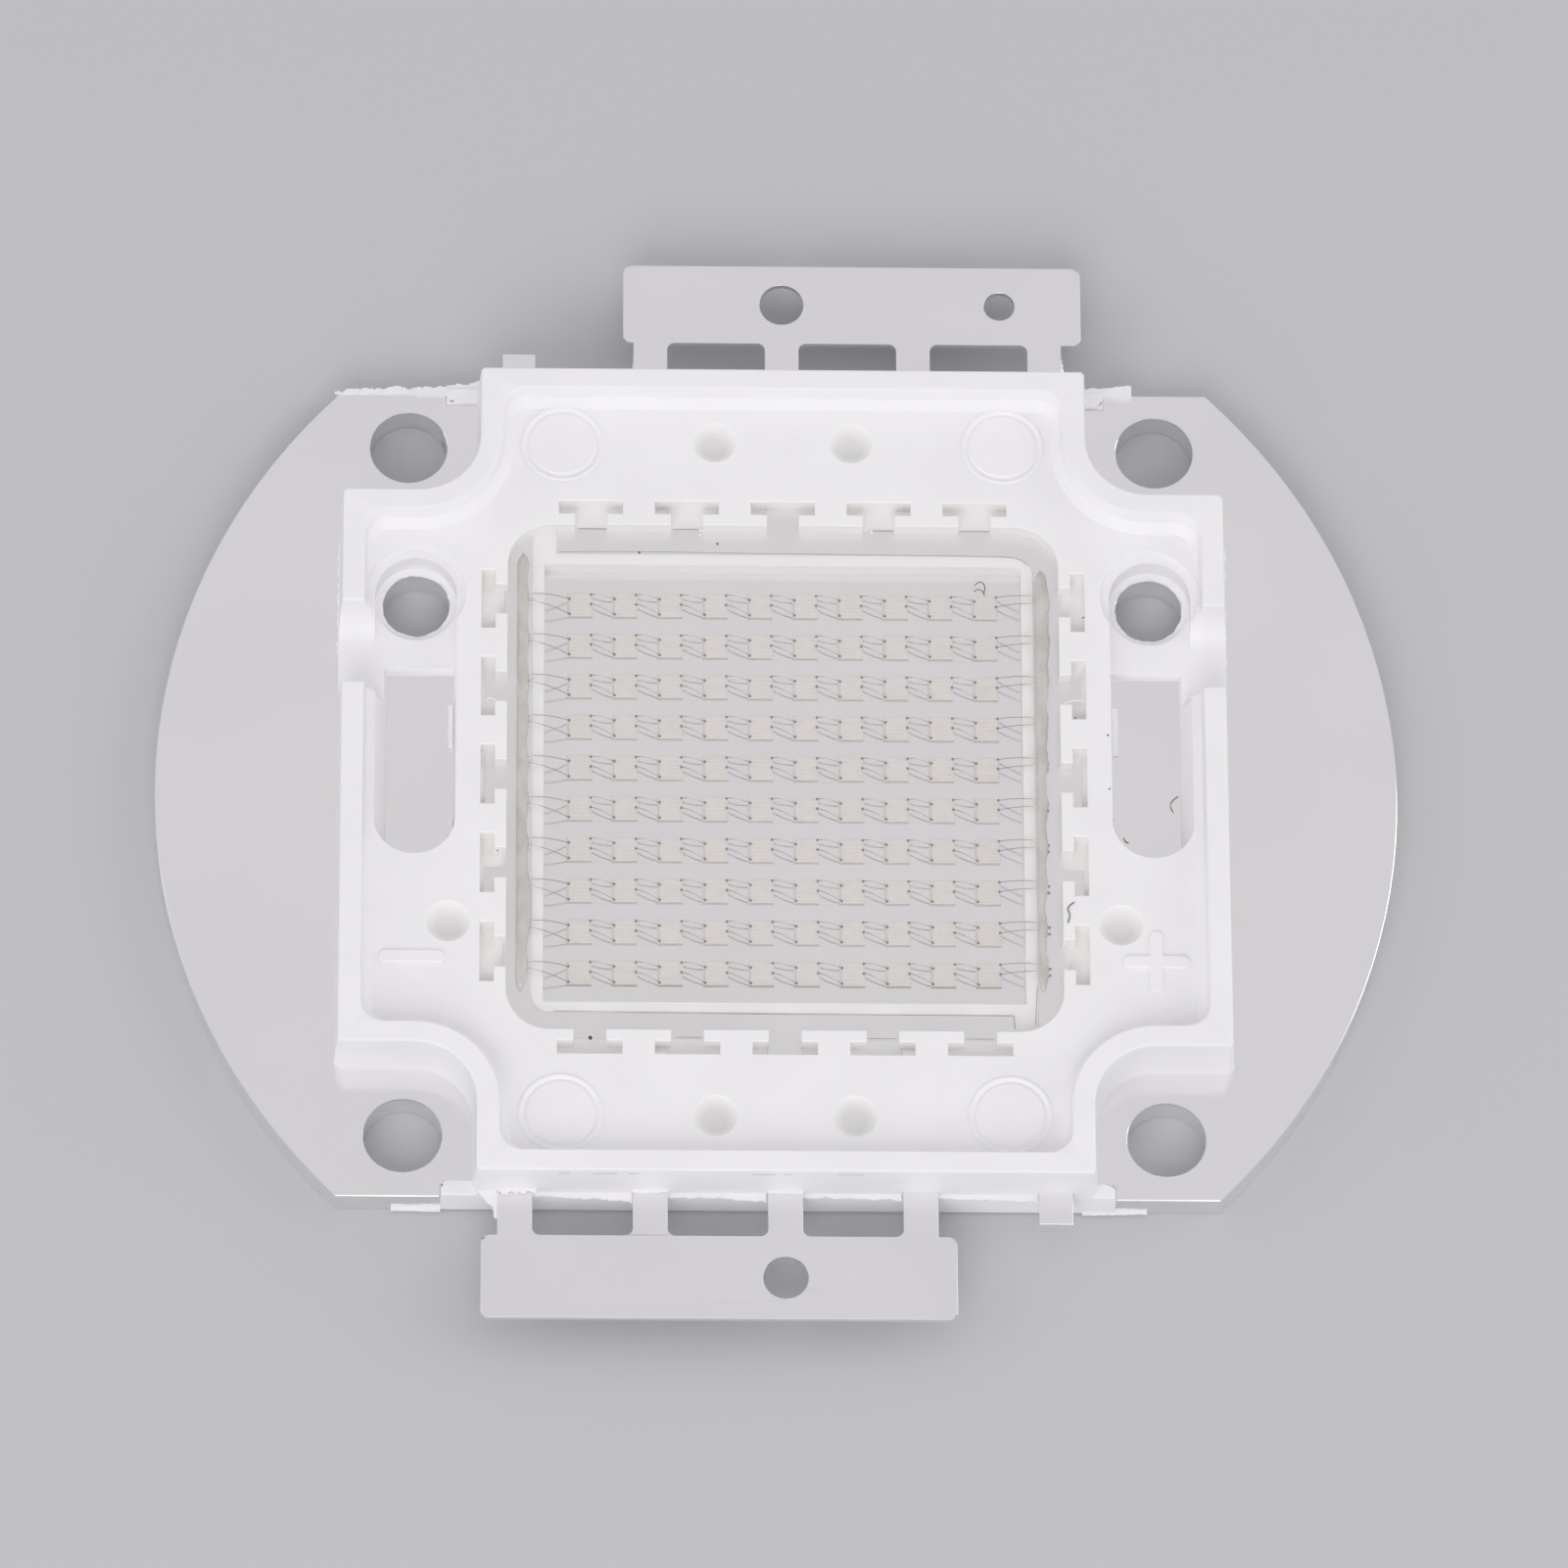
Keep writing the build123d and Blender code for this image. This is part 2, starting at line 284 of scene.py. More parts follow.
def white_plastic(name, sinking):
    """Moulded white polyphthalamide: bright and slightly rough, and warmer where the silicone wets it. That
    wet tone is partly painted light, set for the light the silicone scatters into the slots.
    """
    material, tree, shader = new_material(
        name, Roughness=0.5, IOR=1.6, Subsurface_Weight=sinking, Subsurface_Radius=(1.0, 0.96, 0.92),
        Subsurface_Scale=0.4 * MM,
    )
    raise_grain(tree, shader, (0.12, 0.12, 0.12), 0.004)
    clouds = object_noise(tree, (3.0, 3.0, 1.0), 2.0)
    dry_white = shades(tree, clouds, 0.35, 0.65, "#F6F5F7", "#F9F8FA")
    place = add_node(tree, "ShaderNodeTexCoord").outputs["Object"]
    apart = add_node(tree, "ShaderNodeSeparateXYZ", None, {0: place})
    centred = add_node(
        tree, "ShaderNodeMath", {"operation": "SUBTRACT"}, {0: apart.outputs[0], 1: PATTERN_X * MM}
    )
    across = add_node(tree, "ShaderNodeMath", {"operation": "ABSOLUTE"}, {0: centred.outputs[0]})
    along = add_node(tree, "ShaderNodeMath", {"operation": "ABSOLUTE"}, {0: apart.outputs[1]})
    outwards = add_node(
        tree, "ShaderNodeMath", {"operation": "MAXIMUM"}, {0: across.outputs[0], 1: along.outputs[0]}
    )
    near = add_node(
        tree, "ShaderNodeMath", {"operation": "LESS_THAN"}, {0: outwards.outputs[0], 1: WETTED_REACH * MM}
    )
    low = add_node(
        tree, "ShaderNodeMath", {"operation": "LESS_THAN"}, {0: apart.outputs[2], 1: WETTED_TOP * MM}
    )
    wetted_painted_light = add_node(
        tree, "ShaderNodeMath", {"operation": "MULTIPLY"}, {0: near.outputs[0], 1: low.outputs[0]}
    )
    # Painted light, in part: the wetted tone stands in for light the silicone scatters into the slots
    tone = add_node(
        tree, "ShaderNodeMix", {"data_type": "RGBA"},
        {"Factor": wetted_painted_light.outputs[0], 6: dry_white, 7: colour("#F6F5F4")},
    )
    tree.links.new(tone.outputs[2], shader.inputs["Base Color"])
    return material


def pit_plastic():
    """The same plastic in a dimple, which the mould leaves matt, with painted shade: greyer towards the
    bottom.
    """
    material, tree, shader = new_material("matt_plastic_pit_painted_shade", Roughness=0.65, IOR=1.6)
    place = add_node(tree, "ShaderNodeTexCoord").outputs["Object"]
    apart = add_node(tree, "ShaderNodeSeparateXYZ", None, {0: place})
    # Painted shade: greyer with depth in the dimple
    tone = shades(tree, apart.outputs[2], PIT_START * MM, PIT_END * MM, "#F6F5F7", "#E6E5E3")
    tree.links.new(tone, shader.inputs["Base Color"])
    raise_grain(tree, shader, (0.12, 0.12, 0.12), 0.006)
    return material


def soft_material(name, dark, light, size, roughness, depth, **sockets):
    """A plain material whose colour wanders between two shades, with a fine bump."""
    material, tree, shader = new_material(name, Roughness=roughness, **sockets)
    pattern = raise_grain(tree, shader, size, depth)
    tree.links.new(shades(tree, pattern, 0.3, 0.7, dark, light), shader.inputs["Base Color"])
    return material


def clear_silicone():
    """Cured optical silicone: clear, with a faint milky film and a soft gloss on its top."""
    material, tree, shader = new_material("clear_optical_silicone", Roughness=0.12, IOR=1.41, Alpha=0.03)
    ripple = raise_grain(tree, shader, (3.5, 3.5, 3.5), 0.02, 0.4, 1.0)
    tree.links.new(shades(tree, ripple, 0.0, 1.0, "#EFEEEC", "#F4F3F2"), shader.inputs["Base Color"])
    return material


# Silver-plated copper base: a pale grey satin that mirrors the walls beside it. Its lines are 0.06 mm apart,
# drawn coarser than the real ones
plate_metal = plated_metal("silver_plated_satin", "#F5F4F5", "#F8F7F8", (2.5, 0.06, 0.06), 0.15)

# Silver-plated strip of the leads: duller than the base, with finer lines
strip_metal = plated_metal("silver_plated_strip", "#F4F3F4", "#F8F7F8", (1.8, 0.05, 0.05), 0.3)

# Light sinks into the thick frame, which brightens its slots and walls
ppa = white_plastic("moulded_white_ppa", 0.15)
# Raised marks and flash are too thin for that
thin_ppa = white_plastic("thin_white_ppa", 0.0)
pit_painted_shade = pit_plastic()

# Ultraviolet die face: clear-coated nitride, a warm beige with a soft gloss
die_face = soft_material("nitride_die_face", "#DDD9D6", "#E4E0DD", (0.4, 0.4, 0.4), 0.3, 0.001)
# Sawn side of a die: rough, and darker with painted shade, which draws the line under its front edge
die_side_painted_shade = soft_material("sawn_die_side", "#C5BEB8", "#D1CBC5", (0.05, 0.05, 0.05), 0.6, 0.003)
# Evaporated gold fingers, too thin to look yellow: pale lines across the die
die_finger = soft_material("thin_gold_finger", "#E5E0DD", "#ECE7E4", (0.1, 0.1, 0.1), 0.35, 0.001)
# Bonded gold balls: small grey dots, darkened as a painted reflection of the dim side of the cavity that each
# mirrors
bond_ball_painted_reflection = soft_material(
    "bonded_gold_ball_painted_reflection", "#8B837B", "#9B938C", (0.03, 0.03, 0.03), 0.45, 0.001, Metallic=0.4
)
# Drawn gold wire 0.03 mm thick: greyish lines with a warm cast
bond_wire = soft_material(
    "drawn_gold_wire", "#A7A19B", "#B8B2AC", (0.05, 0.05, 0.05), 0.35, 0.001, Metallic=0.7
)
# Cured bead of clear adhesive over the wire feet: greyish, wet-looking
adhesive = soft_material("cured_adhesive", "#C4C0BC", "#D6D3D0", (0.5, 0.9, 0.3), 0.15, 0.006)
silicone = clear_silicone()

# Painted shade in the seams between plastic and lead, and dirt on the rim: thin grey lines
painted_seam_shade_and_dirt = soft_material("painted_seam_shade_and_dirt", "#8F8C89", "#AEABA8", (0.8, 0.3, 0.3), 0.7, 0.001)
# Specks and fibres left in the silicone; the pale ones are lit with painted glint
dark_speck = soft_material("dark_dust", "#3A3532", "#5A534E", (0.05, 0.05, 0.05), 0.8, 0.002)
glint_speck_painted = soft_material("pale_dust_painted_glint", "#F4F3F0", "#FFFFFF", (0.05, 0.05, 0.05), 0.5, 0.002)

# Metal pieces: the solids with their stamped edges rounded
plate = worked_copy("base_plate")
soften(plate, 0.05, 2, lambda a, b: True)
finished(plate, "plated_base_plate", plate_metal, ["base_plate"])
for polarity in ("positive", "negative"):
    lead = worked_copy("lead_" + polarity)
    soften(lead, 0.03, 2, lambda a, b: True)
    finished(lead, "stamped_lead_" + polarity, strip_metal, ["lead_" + polarity])

# Moulded frame: the solid with its edges softened as a mould leaves them
moulding = worked_copy("frame")


def reach(corner):
    """How far a corner lies from the middle of the hole pattern, along X or Y."""
    return max(abs(corner.x - PATTERN_X), abs(corner.y))


def at_level(a, b, level):
    """Whether both ends of an edge lie at this height."""
    return max(abs(a.z - level), abs(b.z - level)) < 0.005


# The edges of the cavity and its slots lie within the first reach, and the side holes' collars between the two
# reaches and behind the collars' front
CAVITY_REACH = 14.2
COLLAR_REACH = 17.4
COLLAR_FRONT = 5.85

# The feet lie further out along X than this
FOOT_START = 14.25


def in_cavity(a, b):
    return at_level(a, b, FLOOR) and max(reach(a), reach(b)) < CAVITY_REACH


def by_collar(a, b):
    near, far = sorted(abs(corner.x - PATTERN_X) for corner in (a, b))
    behind = min(a.y, b.y) > COLLAR_FRONT
    return at_level(a, b, FLOOR) and behind and near > CAVITY_REACH and far < COLLAR_REACH


def on_foot(a, b):
    return at_level(a, b, FOOT_TOP) and max(abs(a.x), abs(b.x)) > FOOT_START


soften(moulding, 0.08, 2, lambda a, b: min(a.z, b.z) > FRAME_TOP - 0.005)
soften(moulding, 0.04, 1, in_cavity)
soften(moulding, 0.06, 2, by_collar)
soften(moulding, 0.06, 2, on_foot)


# Dimples: two by each end of the frame and one by each sign. All of a dimple lies within its reach
DIMPLE_X = 3.1
DIMPLE_INSET = 3.35
SIGN_DIMPLE_X = 15.05
SIGN_DIMPLE_Y = -7.25
DIMPLE_REACH = 1.05

# Rings of a dimple's bowl: the share of its radius that each keeps, and how far down it goes
DIMPLE_RINGS = ((0.96, 0.04), (0.94, 0.08), (0.89, 0.1), (0.81, 0.13), (0.69, 0.13), (0.44, 0.08))


def round_dimple(x, y):
    """Opens one pointed dimple of the moulding and draws its rim down in rings to a round bowl."""
    def near(corner):
        return math.hypot(corner.x - x, corner.y - y) < DIMPLE_REACH

    choose(moulding, "FACE", lambda c, n: near(c) and c.z < FLOOR - 0.02)
    bpy.ops.mesh.delete(type="FACE")
    close_edit()
    choose(moulding, "EDGE", lambda a, b: at_level(a, b, FLOOR) and near(a) and near(b))
    for shrink, drop in DIMPLE_RINGS:
        bpy.ops.mesh.extrude_region_move(TRANSFORM_OT_translate={"value": metres(0, 0, -drop)})
        bpy.ops.transform.resize(value=(shrink, shrink, 1), center_override=metres(x, y, FLOOR))
    bpy.ops.mesh.merge(type="CENTER")
    close_edit()
    # Faces low in the dimple take the painted shade
    for face in moulding.data.polygons:
        if near(face.center / MM) and face.center.z < (FLOOR - 0.03) * MM:
            face.material_index = 1


moulding.data.materials.clear()
moulding.data.materials.append(ppa)
moulding.data.materials.append(pit_painted_shade)
for side in (-1, 1):
    round_dimple(PATTERN_X + DIMPLE_X * side, FRAME_END - DIMPLE_INSET)
    round_dimple(PATTERN_X + DIMPLE_X * side, DIMPLE_INSET - FRAME_END)
    round_dimple(PATTERN_X + SIGN_DIMPLE_X * side, SIGN_DIMPLE_Y)
finished(moulding, "moulded_frame", None, ["frame"])


def minus_sign(centre, length, width, height):
    """A bar that stands on the floor, with round ends and a soft top edge."""
    bar = block((length, width, height), (centre[0], centre[1], FLOOR + height / 2))
    choose(bar, "EDGE", lambda a, b: abs(a.z - b.z) > height / 2)
    bpy.ops.mesh.bevel(offset=0.45 * width * MM, segments=5)
    close_edit()
    choose(bar, "EDGE", lambda a, b: min(a.z, b.z) > FLOOR + height * 0.9)
    bpy.ops.mesh.bevel(offset=0.5 * height * MM, segments=2)
    close_edit()
    return bar


def plus_sign(centre, span, width, height):
    """A raised cross: a square whose four sides are pulled out, then its ends and top rounded."""
    middle = Vector((centre[0], centre[1], FLOOR + height / 2))
    cross = block((width, width, height), middle)
    for x, y in ((1, 0), (-1, 0), (0, 1), (0, -1)):
        direction = Vector((x, y, 0))
        pull = direction * (span - width) / 2 * MM

        def outer(place, normal):
            return normal.dot(direction) > 0.9 and (place - middle).cross(direction).length < 0.1

        choose(cross, "FACE", outer)
        bpy.ops.mesh.extrude_region_move(TRANSFORM_OT_translate={"value": pull})
        close_edit()

    def at_end(corner):
        return max(abs(corner.x - middle.x), abs(corner.y - middle.y)) > span * 0.49

    choose(cross, "EDGE", lambda a, b: abs(a.z - b.z) > height / 2 and at_end(a))
    bpy.ops.mesh.bevel(offset=0.45 * width * MM, segments=5)
    close_edit()

    def at_top_rim(a, b):
        flat = min(a.z, b.z) > FLOOR + height * 0.9
        inner = max(abs((a.x + b.x) / 2 - middle.x), abs((a.y + b.y) / 2 - middle.y)) < width * 0.55
        return flat and not inner

    choose(cross, "EDGE", at_top_rim)
    bpy.ops.mesh.bevel(offset=0.5 * height * MM, segments=2)
    close_edit()
    return cross


# Polarity signs beside the side pads
minus = minus_sign((PATTERN_X - 16.65, -9.0), 2.9, SIGN_WIDTH, SIGN_HEIGHT)
finished(minus, "minus_sign", thin_ppa)
plus = plus_sign((PATTERN_X + 16.6, -9.05), 2.95, SIGN_WIDTH, SIGN_HEIGHT)
finished(plus, "plus_sign", thin_ppa)

# Ejector pin marks: a soft lip round a ring groove, and the flat face that the pin left inside it,
# as steps inwards and upwards
EJECTOR_STEPS = (
    (0.06, 0.05), (0.08, 0.0), (0.07, -0.06), (0.06, -0.045), (0.05, 0.0), (0.06, 0.06), (0.06, 0.035),
)
first_mark = disc(1.9, 0.075, (PATTERN_X - EJECTOR_X, -EJECTOR_Y, FLOOR - 0.08), 48)
choose(first_mark, "FACE", lambda c, n: n.z > 0.9)
for inwards, upwards in EJECTOR_STEPS:
    bpy.ops.mesh.inset(thickness=inwards * MM, depth=upwards * MM)
close_edit()
marks = [first_mark]
marks.append(copied(first_mark, 2 * EJECTOR_X, 0, 0))
marks.append(copied(first_mark, 0, 2 * EJECTOR_Y, 0))
marks.append(copied(first_mark, 2 * EJECTOR_X, 2 * EJECTOR_Y, 0))
for number, mark in enumerate(marks, 1):
    finished(mark, f"ejector_mark_{number}", thin_ppa, smooth=60)


# Bond balls on a die: two by its left edge, two by its right edge
LEFT_BALLS = ((-0.47, 0.285), (-0.47, -0.48))
RIGHT_BALLS = ((0.51, 0.5), (0.51, 0.02))

# Five gold fingers on a die, and the distance between them
FINGER_COUNT = 5
FINGER_PITCH = 0.19


def one_die():
    """One die at the middle of the plate: body, fingers, a dark strip by its left edge and four bond balls."""
    body = block((DIE_SIZE, DIE_SIZE, DIE_HEIGHT), (0, 0, PLATE_TOP + DIE_HEIGHT / 2))
    body.data.materials.append(die_face)
    body.data.materials.append(die_side_painted_shade)
    choose(body, "EDGE", lambda a, b: min(a.z, b.z) > DIE_TOP - 0.01)
    bpy.ops.mesh.bevel(offset=0.02 * MM, segments=1)
    close_edit()
    # The sides take the darker colour with painted shade
    for face in body.data.polygons:
        face.material_index = 0 if face.normal.z > 0.5 else 1
    parts = [body]
    for line in range(FINGER_COUNT):
        across = (line - (FINGER_COUNT - 1) / 2) * FINGER_PITCH
        finger = block((0.9, 0.035, 0.008), (0.03, across, DIE_TOP + 0.004))
        finger.data.materials.append(die_finger)
        parts.append(finger)
    # A thin strip in the sides' painted-shade colour draws a dark line by the left edge
    left_dark_strip = block((0.03, 0.74, 0.006), (-0.5, -0.1, DIE_TOP + 0.003))
    left_dark_strip.data.materials.append(die_side_painted_shade)
    parts.append(left_dark_strip)
    for x, y in LEFT_BALLS + RIGHT_BALLS:
        ball = disc(0.06, 0.035, (x, y, DIE_TOP), 6)
        choose(ball, "FACE", lambda c, n: n.z > 0.9)
        bpy.ops.mesh.inset(thickness=0.02 * MM)
        bpy.ops.transform.translate(value=metres(0, 0, 0.012))
        close_edit()
        ball.data.materials.append(bond_ball_painted_reflection)
        parts.append(ball)
    return joined(parts)


def die_x(column):
    return PATTERN_X + (column - (DIE_COUNT - 1) / 2) * DIE_PITCH_X


def die_y(row):
    return ((DIE_COUNT - 1) / 2 - row) * DIE_PITCH_Y


die = one_die()
first_row = joined([copied(die, die_x(column), die_y(0), 0) for column in range(DIE_COUNT)])
bpy.data.objects.remove(die)
for row in range(1, DIE_COUNT):
    chips = copied(first_row, 0, die_y(row) - die_y(0), 0)
    finished(chips, f"dies_{row + 1:02d}", None, [f"die_row_{row + 1:02d}"])
finished(first_row, "dies_01", None, ["die_row_01"])


# Drawn a little thicker than the real 0.03 mm wire, so that it shows
WIRE_RADIUS = 0.02

# How high the handles of a wire's loop rise, and how far out on the pads the outer wires end
GAP_RISE = 0.28
PAD_RISE = 0.75
LEFT_FOOT_X = PATTERN_X - PAD_INNER - 0.42
RIGHT_FOOT_X = PATTERN_X + PAD_INNER + 0.56


def wire(start, end, rise):
    """One bond wire: a bezier loop between two feet, given its thickness and made a mesh."""
    bpy.ops.object.select_all(action="DESELECT")
    bpy.ops.curve.primitive_bezier_curve_add()
    loop = bpy.context.object
    first, last = loop.data.splines[0].bezier_points
    start, end = metres(*start), metres(*end)
    lean = (end - start) * 0.3
    up = metres(0, 0, rise)
    for point in (first, last):
        point.handle_left_type = point.handle_right_type = "FREE"
    first.co, first.handle_left, first.handle_right = start, start - up, start + up + lean * 0.4
    last.co, last.handle_left, last.handle_right = end, end + up * 0.6 - lean, end + lean
    loop.data.resolution_u = 6
    loop.data.bevel_depth = WIRE_RADIUS * MM
    loop.data.bevel_resolution = 0
    loop.data.use_fill_caps = True
    bpy.ops.object.convert(target="MESH")
    return bpy.context.object


def wire_row():
    """The bond wires of one string: between neighbouring dies, and from the end dies to the pads."""
    gap = []
    for right_ball, left_ball in zip(RIGHT_BALLS, LEFT_BALLS):
        end = (left_ball[0] + DIE_PITCH_X, left_ball[1], DIE_TOP)
        gap.append(wire((*right_ball, DIE_TOP), end, GAP_RISE))
    pair = joined(gap)
    wires = [copied(pair, die_x(column), 0, 0) for column in range(DIE_COUNT - 1)]
    bpy.data.objects.remove(pair)
    left = die_x(0)
    right = die_x(DIE_COUNT - 1)
    for foot_y, ball in zip((0.06, -0.19), LEFT_BALLS):
        wires.append(wire((LEFT_FOOT_X, foot_y, LEAD_TOP), (left + ball[0], ball[1], DIE_TOP), PAD_RISE))
    for foot_y, ball in zip((0.02, -0.3), RIGHT_BALLS):
        wires.append(wire((RIGHT_FOOT_X, foot_y, LEAD_TOP), (right + ball[0], ball[1], DIE_TOP), PAD_RISE))
        foot = disc(0.06, 0.05, (RIGHT_FOOT_X, foot_y, LEAD_TOP), 6)
        choose(foot, "FACE", lambda c, n: n.z > 0.9)
        bpy.ops.mesh.inset(thickness=0.025 * MM)
        bpy.ops.transform.translate(value=metres(0, 0, 0.02))
        close_edit()
        wires.append(foot)
    return joined(wires)


wires = wire_row()
for row in range(DIE_COUNT):
    loops = copied(wires, 0, die_y(row), 0)
    finished(loops, f"bond_wires_{row + 1:02d}", bond_wire, smooth=60)
bpy.data.objects.remove(wires)


def bead(edge_x, length, centre_y, widths, wander, seed):
    """A squeezed bead of adhesive along an edge: a long box cut across, rounded on top, one side wavy."""
    cuts = 79
    height = 0.3
    piece = block((1, length, height), (0.5, centre_y, LEAD_TOP + height / 2))
    choose(piece, "EDGE", lambda a, b: abs(a.y - b.y) > length / 2)
    bpy.ops.mesh.subdivide(number_cuts=cuts)
    close_edit()
    rim = LEAD_TOP + height * 0.9
    choose(piece, "EDGE", lambda a, b: min(a.z, b.z) > rim and abs(a.x - b.x) < 0.01)
    bpy.ops.mesh.bevel(offset=height * 0.8 * MM, segments=3)
    close_edit()
    dice = random.Random(seed)
    waves = [dice.uniform(-wander, wander) for _ in range(cuts + 3)]
    for corner in piece.data.vertices:
        x, y, z = corner.co / MM
        step = min(max((y - centre_y) / length + 0.5, 0.0), 1.0)
        place = step * (len(widths) - 1)
        first = min(int(place), len(widths) - 2)
        wide = widths[first] + (widths[first + 1] - widths[first]) * (place - first)
        wide += 0.04 * math.cos(2 * math.pi * (y - die_y(0)) / DIE_PITCH_Y) + waves[round(step * cuts)]
        end = min(1.0, math.sqrt(max(0.0, length / 2 - abs(y - centre_y)) / 0.8) + 0.2)
        inner = 0.5 * wide * (1 - end)
        corner.co.x = (edge_x + inner + x * wide * end) * MM
        corner.co.z = (LEAD_TOP + (z - LEAD_TOP) * end) * MM
    only(piece)
    bpy.ops.object.mode_set(mode="EDIT")
    bpy.ops.mesh.select_all(action="SELECT")
    bpy.ops.mesh.normals_make_consistent(inside=False)
    close_edit()
    return piece


# Each bead's widths in millimetres, from its front end to its back end
NEGATIVE_WIDTHS = (0.5, 0.52, 0.74, 0.56, 0.5, 0.52, 0.5, 0.54, 0.5, 0.52, 0.5, 0.5)
POSITIVE_WIDTHS = (0.42, 0.4, 0.36, 0.42, 0.46, 0.48, 0.52, 0.56, 0.6, 0.66, 0.68, 0.62)
left_bead = bead(-11.72, 21.6, 0.5, NEGATIVE_WIDTHS, 0.02, 4)
finished(left_bead, "adhesive_bead_negative", adhesive, ["bead_negative"], 60)
right_bead = bead(11.68, 20.8, 0.2, POSITIVE_WIDTHS, 0.035, 9)
finished(right_bead, "adhesive_bead_positive", adhesive, ["bead_positive"], 60)

# Silicone: the solid drawn in by a hair, so that it doesn't share faces with the walls
filling = worked_copy("encapsulant")
choose(filling, "FACE", lambda c, n: True)
bpy.ops.transform.shrink_fatten(value=-0.012 * MM)
close_edit()
finished(filling, "silicone_filling", silicone, ["encapsulant"])


def torn_sheet(name, start, length, turn, widths, levels, wander, seed, curve=1.0, metal=False):
    """A thin sheet of mould flash along a line: a box cut across, its far side pulled out to a torn edge.

    It starts at a point, runs its length in the direction of the turn and reaches out to its left.
    """
    cuts = max(4, round(length / 0.1))
    middle = (levels[0] + levels[1]) / 2
    sheet = block((length, 1, levels[1] - levels[0]), (length / 2, 0.5, middle))
    choose(sheet, "EDGE", lambda a, b: abs(a.x - b.x) > length / 2)
    bpy.ops.mesh.subdivide(number_cuts=cuts)
    close_edit()
    dice = random.Random(seed)
    edge = []
    drift = lift = 0.0
    for step in range(cuts + 2):
        drift = 0.6 * drift + dice.uniform(-wander, wander)
        lift = 0.7 * lift + dice.uniform(-0.02, 0.02)
        wide = widths[0] + (widths[1] - widths[0]) * (step / (cuts + 1)) ** curve
        edge.append((max(0.03, wide + drift), lift))
    for corner in sheet.data.vertices:
        if corner.co.y > 0.5 * MM:
            wide, lift = edge[round(corner.co.x / MM / length * (cuts + 1))]
            corner.co.y = wide * MM
            corner.co.z = (middle + lift) * MM + (corner.co.z - middle * MM) * 0.5
    place = Matrix.Translation(metres(start[0], start[1], 0)) @ Matrix.Rotation(math.radians(turn), 4, "Z")
    sheet.data.transform(place)
    if metal:
        return finished(sheet, name, strip_metal, smooth=50)
    return finished(sheet, name, thin_ppa, smooth=50)


# Lower and upper side of the flash under the feet, between the legs and in the windows, and of the burrs
LIP_LEVELS = (0.04, 0.24)
GAP_LEVELS = (1.86, 2.04)
WINDOW_LEVELS = (1.5, 1.75)
BURR_LEVELS = (2.02, 2.28)

# Flash that squeezed out over the plate's flats and beside the feet
torn_sheet("flash_back_left_thin", (-20.1, 19.7), 3.75, 0, (0.16, 0.3), (1.46, 1.58), 0.1, 3)
torn_sheet("flash_back_left_wide", (-16.4, 19.65), 3.0, 0, (0.34, 0.7), (1.46, 1.66), 0.06, 5, 1.4)
torn_sheet("flash_back_right", (14.1, 19.7), 2.2, 0, (0.48, 0.64), (1.46, 1.74), 0.04, 8)
torn_sheet("flash_front_left_lip", (-15.0, FRONT_FACE), 2.2, 180, (0.2, 0.16), LIP_LEVELS, 0.015, 2)
torn_sheet("flash_front_right_lip", (16.45, FRONT_FACE), 2.9, 180, (0.14, 0.2), LIP_LEVELS, 0.02, 6)
torn_sheet("flash_front_left_web", (-12.48, -21.2), 1.3, 90, (0.1, 1.0), (2.0, 2.2), 0.06, 11, 1.9)

# Flash between the legs, by the right end of each gap and its widest there, and crumbs of it on the legs
LEG_GAPS = ((-6.5, 0.55), (-0.55, 0.45), (5.45, 0.3), (11.5, 0.45))
for number, (right, widest) in enumerate(LEG_GAPS, 1):
    torn_sheet(
        f"flash_front_gap_{number}", (right, FRONT_FACE), 4.45, 180, (widest, 0.2), GAP_LEVELS,
        0.035, 20 + number, 0.35,
    )
torn_sheet("flash_first_leg", (-10.75, FRONT_FACE), 1.7, 180, (0.38, 0.2), (2.29, 2.45), 0.17, 31)
torn_sheet("flash_second_leg", (-4.9, FRONT_FACE), 1.6, 180, (0.14, 0.16), (2.29, 2.36), 0.04, 32)
torn_sheet("flash_third_leg", (1.1, FRONT_FACE), 1.6, 180, (0.12, 0.14), (2.29, 2.35), 0.04, 33)

# Burrs on the sheared edges of the outer legs and of the stub
torn_sheet("burr_left_leg", (-6.4, 20.75), 0.65, 90, (0.12, 0.08), BURR_LEVELS, 0.03, 61, metal=True)
torn_sheet("burr_right_leg", (13.05, 21.5), 0.75, -90, (0.03, 0.16), BURR_LEVELS, 0.03, 62, metal=True)
torn_sheet("burr_stub_left", (11.63, -21.42), 0.4, 90, (0.1, 0.02), BURR_LEVELS, 0.01, 63, metal=True)
torn_sheet("burr_stub_right", (12.95, -21.02), 0.4, -90, (0.02, 0.1), BURR_LEVELS, 0.01, 64, metal=True)

# Ragged parting line where the frame's sides stand on the plate
torn_sheet("flash_side_left", (-19.78, 6.3), 5.8, 90, (0.05, 0.05), (1.5, 1.6), 0.04, 51)
torn_sheet("flash_side_right", (20.38, 12.1), 5.8, -90, (0.05, 0.05), (1.5, 1.6), 0.04, 52)

# Flash on the inner edges of the side windows
torn_sheet("flash_window_left_back", (-14.6, 1.9), 2.1, 90, (0.2, 0.22), WINDOW_LEVELS, 0.02, 41)
torn_sheet("flash_window_left_front", (-14.58, -3.25), 1.6, 90, (0.22, 0.18), WINDOW_LEVELS, 0.03, 42)
torn_sheet("flash_window_right_back", (15.15, 4.05), 2.3, -90, (0.3, 0.28), WINDOW_LEVELS, 0.02, 43)
torn_sheet("flash_window_right_front", (15.15, -1.45), 1.15, -90, (0.22, 0.28), WINDOW_LEVELS, 0.03, 44)


